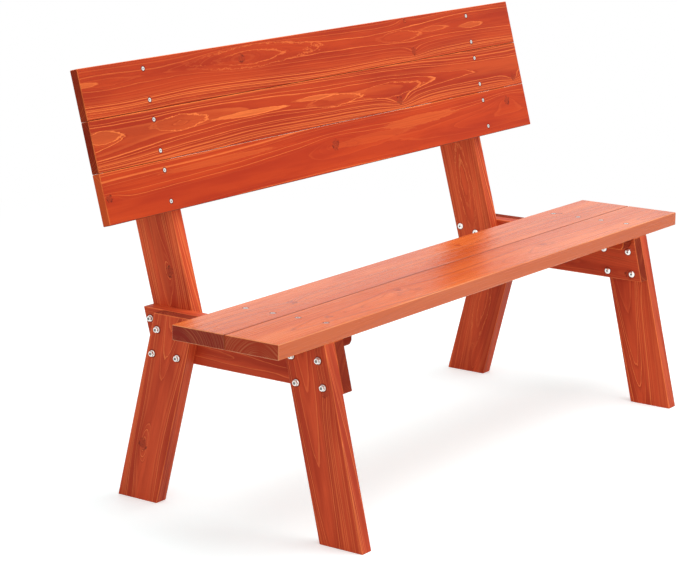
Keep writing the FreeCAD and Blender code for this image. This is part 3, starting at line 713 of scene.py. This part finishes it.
def starts_of(node, into):
    """Where each solid of a frame piece starts along a direction, on its own axis, and how far it goes."""
    starts = []
    for corners in solids_of(node):
        middle = middle_of(corners)
        reaches = [(corner - middle).dot(into) for corner in corners]
        starts.append((middle + into * min(reaches), max(reaches) - min(reaches)))
    return starts


def made_real(piece, finish):
    """Makes what a piece's modifiers show of it a plain mesh in one finish."""
    bpy.context.view_layer.update()
    mesh = bpy.data.meshes.new_from_object(piece.evaluated_get(bpy.context.evaluated_depsgraph_get()))
    piece.modifiers.clear()
    piece.data = mesh
    mesh.materials.clear()
    mesh.materials.append(finish)
    mesh.set_sharp_from_angle(angle=math.radians(34))


def grown(piece, tree, values):
    """Gives a piece a tree, sets the tree's inputs by name, and makes the result its mesh."""
    modifier = piece.modifiers.new("set", "NODES")
    modifier.node_group = tree
    for socket in tree.interface.items_tree:
        if socket.in_out == "INPUT" and socket.name in values:
            modifier[socket.identifier] = values[socket.name]
    made_real(piece, values["Finish"])


def stands_for(piece, node):
    """The piece takes a frame piece's place, on the same body."""
    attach(piece, nodes[node]["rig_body"])
    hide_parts(node)


def fixings(tree, node, into, slot, **sizes):
    """One bright fixing for each solid of a frame piece, made by a tree and pointing the same way."""
    starts = starts_of(node, into)
    points = bpy.data.meshes.new(node + "_places")
    points.from_pydata([place for place, reach in starts], [], [])
    reaches = points.attributes.new("reach", "FLOAT", "POINT")
    for k, (place, reach) in enumerate(starts):
        reaches.data[k].value = reach
    piece = bpy.data.objects.new("made_" + node, points)
    bpy.context.collection.objects.link(piece)
    grown(piece, tree, {"Into": tuple(into), "Finish": bright_zinc} | sizes)
    stands_for(piece, node)


bright_zinc = plated_steel("bright_zinc", stain(248, 246, 242), 0.30)
upwards, downwards = Vector((0, 0, 1)), Vector((0, 0, -1))
for end_name in ("left", "right"):
    fixings(screw_tree, "back_screws_" + end_name, -lean_front, "screw_steel",
            Head=0.008, Shank=0.004, Length=0.050)
    fixings(screw_tree, "end_batten_screws_" + end_name, lean_front, "screw_steel",
            Head=0.008, Shank=0.004, Length=0.036)
    fixings(screw_tree, "seat_screws_" + end_name, downwards, "screw_steel",
            Head=0.0095, Shank=0.005, Length=0.070)
    fixings(screw_tree, "seat_batten_screws_" + end_name, upwards, "screw_steel",
            Head=0.008, Shank=0.004, Length=0.036)

# Frame bolts
# Six-millimetre bolts with a shallow domed head and a hexagon socket. They go through leg, crosspiece and
# post from the bench's middle outwards, and a washer and a nut hold each one outside.


def round_head(tree, radius, height):
    """A shallow dome that starts at its crown."""
    ball = add(tree, "GeometryNodeMeshUVSphere", {"Segments": 28, "Rings": 16, "Radius": radius}).outputs[0]
    sums = Sums(tree)
    split = sums.split(add(tree, "GeometryNodeInputPosition").outputs[0])
    lower = sums.over(sums.of("MINIMUM", split[2], 0.0), radius)
    place = sums.xyz(split[0], split[1], sums.plus(height, sums.times(lower, height)))
    return add(tree, "GeometryNodeSetPosition", {"Geometry": ball, "Position": place}).outputs[0]


bolt_tree, given, out = set_of("socket_bolts", "Head", "Head Height", "Shank", "Socket")
sums = Sums(bolt_tree)
dome = round_head(bolt_tree, sums.times(given["Head"], 0.5), given["Head Height"])
socket_r, socket_depth = sums.times(given["Socket"], 0.577), sums.times(given["Head Height"], 1.7)
socket = length_of(bolt_tree, 6, socket_r, socket_r, socket_depth, sums.times(socket_depth, -0.5))
heads = stood(bolt_tree, given, cut_by(bolt_tree, dome, socket), given["Places"])
radius = sums.times(given["Shank"], 0.5)
reach = add(bolt_tree, "GeometryNodeInputNamedAttribute", {"Name": "reach"}, data_type="FLOAT").outputs[0]
chamfer = sums.times(given["Shank"], 0.1)
plain = sums.minus(reach, sums.plus(given["Head Height"], chamfer))
under_head = {"Geometry": given["Places"], "Offset": sums.scaled(given["Into"], given["Head Height"])}
under_head = add(bolt_tree, "GeometryNodeSetPosition", under_head).outputs[0]
rod = length_of(bolt_tree, 20, radius, radius, 1.0)
shanks = stood(bolt_tree, given, rod, under_head, sums.xyz(1.0, 1.0, plain))
lap = 0.0002
last = sums.minus(reach, sums.plus(chamfer, lap))
at_end = {"Geometry": given["Places"], "Offset": sums.scaled(given["Into"], last)}
at_end = add(bolt_tree, "GeometryNodeSetPosition", at_end).outputs[0]
tip_end = sums.minus(radius, chamfer)
tip = length_of(bolt_tree, 20, sums.times(radius, 0.98), tip_end, sums.plus(chamfer, lap))
# The bolt's end is marked darker: painted shade at the nut's middle, with grease.
mark = {"Geometry": tip, "Name": "grime_and_shade", "Value": 0.9}
tip = add(bolt_tree, "GeometryNodeStoreNamedAttribute", mark, data_type="FLOAT", domain="FACE").outputs[0]
finished(bolt_tree, given, out, joined(bolt_tree, heads, shanks, stood(bolt_tree, given, tip, at_end)))

washer_tree, given, out = set_of("washers", "Width", "Bore", "Thickness")
sums = Sums(washer_tree)
middle_line = {"Resolution": 36, "Radius": sums.times(sums.plus(given["Width"], given["Bore"]), 0.25)}
middle_line = add(washer_tree, "GeometryNodeCurvePrimitiveCircle", middle_line).outputs[0]
band = sums.times(sums.minus(given["Width"], given["Bore"]), 0.5)
section = {"Width": band, "Height": given["Thickness"]}
section = add(washer_tree, "GeometryNodeCurvePrimitiveQuadrilateral", section).outputs[0]
eased = {"Curve": section, "Count": 2, "Radius": sums.times(given["Thickness"], 0.2), "Limit Radius": True}
eased = add(washer_tree, "GeometryNodeFilletCurve", eased, mode="POLY").outputs[0]
washer = add(washer_tree, "GeometryNodeCurveToMesh", {0: middle_line, 1: eased}).outputs[0]
washer = {"Geometry": washer, "Translation": sums.xyz(z=sums.times(given["Thickness"], 0.5))}
washer = add(washer_tree, "GeometryNodeTransform", washer).outputs[0]
finished(washer_tree, given, out, stood(washer_tree, given, washer, given["Places"]))

nut_tree, given, out = set_of("hexagon_nuts", "Flats", "Bore", "Thickness")
sums = Sums(nut_tree)
corner = sums.times(given["Flats"], 0.577)
hexagon = length_of(nut_tree, 6, corner, corner, given["Thickness"])
crown = sums.times(given["Flats"], 0.475)
skirt = sums.plus(crown, sums.times(given["Thickness"], 1.73))
turned_face = length_of(nut_tree, 40, skirt, crown, given["Thickness"])
nut = add(nut_tree, "GeometryNodeMeshBoolean", operation="INTERSECT", solver="EXACT")
for shape in (hexagon, turned_face):
    nut_tree.links.new(shape, nut.inputs["Mesh 2"])
hole = sums.times(given["Bore"], 0.5)
through = length_of(nut_tree, 24, hole, hole, sums.times(given["Thickness"], 3.0),
                    sums.times(given["Thickness"], -1.0))
nut = cut_by(nut_tree, nut.outputs[0], through)
finished(nut_tree, given, out, stood(nut_tree, given, nut, given["Places"]))

for end_name, sign in both_ends:
    to_outside = Vector((sign, 0, 0))
    fixings(bolt_tree, "frame_bolts_" + end_name, to_outside, "bolt_steel",
            **{"Head": 0.015, "Head Height": 0.0034, "Shank": 0.006, "Socket": 0.004})
    fixings(washer_tree, "frame_washers_" + end_name, to_outside, "bolt_steel",
            Width=0.013, Bore=0.0065, Thickness=0.0016)
    fixings(nut_tree, "frame_nuts_" + end_name, to_outside, "bolt_steel",
            Flats=0.010, Bore=0.0063, Thickness=0.005)

# Pivots
# One eight-millimetre bolt at each end, with a wide domed head on the cleat. Its nut and washer are on the
# post's inner face. The whole back turns on the two.
for end_name, sign in both_ends:
    inward = Vector((-sign, 0, 0))
    fixings(bolt_tree, "pivot_bolt_" + end_name, inward, "bolt_steel",
            **{"Head": 0.019, "Head Height": 0.0042, "Shank": 0.008, "Socket": 0.005})
    fixings(washer_tree, "pivot_washer_" + end_name, inward, "bolt_steel",
            Width=0.020, Bore=0.0085, Thickness=0.0016)
    fixings(nut_tree, "pivot_nut_" + end_name, inward, "bolt_steel",
            Flats=0.013, Bore=0.0083, Thickness=0.0065)

# Chain
# Long-link chain of two-millimetre plated wire, each link bent and butted. Its last link is a round
# joining ring, which goes through the ring of the lock pin.
wire_tree, given, out = group_of("bent_wire", {"Path": "Geometry", "Finish": "Material", "Wire": "Float"},
                                 {"Wires": "Geometry"}, "GeometryNodeTree")
line = add(wire_tree, "GeometryNodeMeshToCurve", {0: given["Path"]}).outputs[0]
round_wire = {"Resolution": 12, "Radius": Sums(wire_tree).times(given["Wire"], 0.5)}
section = add(wire_tree, "GeometryNodeCurvePrimitiveCircle", round_wire).outputs[0]
bent = add(wire_tree, "GeometryNodeCurveToMesh", {0: line, 1: section, "Fill Caps": True}).outputs[0]
finished(wire_tree, given, out, bent)


def bent_wires(name, paths, closed, wire, finish):
    """Wire of one thickness along each path of points."""
    points, edges = [], []
    for path in paths:
        first = len(points)
        points += path
        edges += [(first + k, first + k + 1) for k in range(len(path) - 1)]
        if closed:
            edges.append((len(points) - 1, first))
    lines = bpy.data.meshes.new(name + "_line")
    lines.from_pydata(points, edges, [])
    piece = bpy.data.objects.new(name, lines)
    bpy.context.collection.objects.link(piece)
    grown(piece, wire_tree, {"Wire": wire, "Finish": finish})
    return piece


def strongest_way(spread):
    """The direction in which a spread of points is widest."""
    way = Vector((0.3, 0.5, 0.8))
    for _ in range(60):
        way = (spread @ way).normalized()
    return way


def oval(centre, along, across, reach, radius, steps=12):
    """A loop with round ends whose centres lie so far either side of its middle."""
    turns = [math.pi * k / steps for k in range(steps + 1)]
    half = [along * (reach + radius * math.sin(t)) + across * (radius * math.cos(t)) for t in turns]
    other = [-p for p in half]
    return [centre + p for p in (half + other if reach else half[:-1] + other[:-1])]


chain_runs = 8
chain_wire = 0.002
link_reach = 0.00405
link_round = 0.00325
ring_round = 0.0075
chain_zinc = plated_steel("chain_zinc", stain(214, 213, 208), 0.30)
for number in range(1, chain_runs + 1):
    node = "lock_chain_%d" % number
    loops = []
    for corners in solids_of(node):
        centre = middle_of(corners)
        spokes = [corner - centre for corner in corners]
        spread = Matrix([[sum(p[i] * p[j] for p in spokes) for j in range(3)] for i in range(3)])
        along = strongest_way(spread)
        whole = Matrix.Identity(3) * (spread[0][0] + spread[1][1] + spread[2][2])
        across = strongest_way(whole - spread).cross(along).normalized()
        is_ring = max(abs(p.dot(across)) for p in spokes) > link_round * 2
        reach, bend = (0.0, ring_round) if is_ring else (link_reach, link_round)
        loops.append(oval(centre, along, across, reach, bend))
    piece = bent_wires("made_" + node, loops, True, chain_wire, chain_zinc)
    stands_for(piece, node)

# Screw eye and lock pin
# The eye is bent from three-millimetre wire and screws into the cleat. The pin is turned, with a collar and
# a ring to pull it by. It is drawn back here, so that the back is free to turn.
eye_wire = 0.003
outward = Vector((-1, 0, 0))


def turned(name, start, along, outline, sides=32):
    """A turned piece, its outline given as (radius, distance from its start)."""
    across = along.orthogonal().normalized()
    beside = along.cross(across)
    corners, rings = [], []
    for radius, distance in outline:
        middle = start + along * distance
        if radius:
            ring = [middle + (across * math.cos(t) + beside * math.sin(t)) * radius
                    for t in (math.tau * k / sides for k in range(sides))]
        else:
            ring = [middle]
        rings.append(range(len(corners), len(corners) + len(ring)))
        corners += ring
    faces = []
    for near, far in zip(rings, rings[1:]):
        for k in range(sides):
            after = (k + 1) % sides
            quad = [near[k % len(near)], near[after % len(near)], far[after % len(far)], far[k % len(far)]]
            faces.append(list(dict.fromkeys(quad)))
    mesh = bpy.data.meshes.new(name)
    mesh.from_pydata(corners, [], faces)
    shape = bmesh.new()
    shape.from_mesh(mesh)
    bmesh.ops.recalc_face_normals(shape, faces=shape.faces)
    shape.to_mesh(mesh)
    shape.free()
    mesh.shade_smooth()
    mesh.set_sharp_from_angle(angle=math.radians(34))
    mesh.materials.append(bright_zinc)
    piece = bpy.data.objects.new(name, mesh)
    bpy.context.collection.objects.link(piece)
    return piece


cleat_face = -0.6025
eye_ring = 0.0075
eye_up, eye_behind = 0.1353, 0.0125
eye_gap = 0.002
eye_middle = pivot + lean_up * eye_up - lean_front * eye_behind
eye_middle.x = cleat_face - eye_gap - eye_ring - eye_wire / 2
bends = [math.radians(a) for a in range(24, 349, 12)]
eye_loop = [eye_middle - outward * (eye_ring * math.cos(t)) + lean_up * (eye_ring * math.sin(t))
            for t in bends]
neck_off, neck_swell, neck_sunk = 0.0022, 0.0011, 0.004
neck = eye_middle - outward * (eye_ring + neck_off)
neck_bend = [neck.lerp(eye_loop[0], f) - outward * (neck_swell * math.sin(math.pi * f))
             for f in (0.0, 0.2, 0.4, 0.6, 0.8)]
eye_path = [neck - outward * neck_sunk] + neck_bend + eye_loop
eye_bent = bent_wires("made_screw_eye", [eye_path], False, eye_wire, bright_zinc)
stands_for(eye_bent, "screw_eye")
eye_core, eye_crest, eye_pitch, eye_point = 0.0015, 0.0018, 0.0012, 0.002
eye_sunk, eye_shank_length = 0.022, 0.0245
ridges = [(r, d) for k in range(16)
          for r, d in ((eye_core, eye_pitch * k), (eye_crest, eye_pitch * k + eye_pitch / 2))]
shank_foot = Vector((cleat_face, eye_middle.y, eye_middle.z)) - outward * eye_sunk
shank_ends = [(eye_core, eye_shank_length), (0.0, eye_shank_length)]
shank_outline = [(0.0, 0.0)] + [(r, d + eye_point) for r, d in ridges] + shank_ends
eye_shank = turned("made_screw_eye_shank", shank_foot, outward, shank_outline, 20)
stands_for(eye_shank, "screw_eye")

pin_up, pin_behind, pin_tip_x = 0.022, 0.039, -0.57255
pull_ring_middle, pull_ring_round = 0.0625, 0.008
pin_place = pivot + lean_up * pin_up - lean_front * pin_behind
pin_tip = Vector((pin_tip_x, pin_place.y, pin_place.z))
pin_outline = [(0, 0), (2.7, 0), (4, 1.3), (4, 51.55), (7.5, 51.55), (8, 52.05), (8, 54), (7.5, 54.5),
               (3.3, 54.5), (3.1, 56.2), (2.2, 57.1), (0, 57.3)]
lock_stem = turned("made_lock_pin", pin_tip, outward, [(r / 1000, d / 1000) for r, d in pin_outline])
stands_for(lock_stem, "lock_pin")
pull_ring = oval(pin_tip + outward * pull_ring_middle, outward, lean_front, 0.0, pull_ring_round, 18)
lock_ring = bent_wires("made_lock_pin_ring", [pull_ring], True, eye_wire, bright_zinc)
stands_for(lock_ring, "lock_pin")
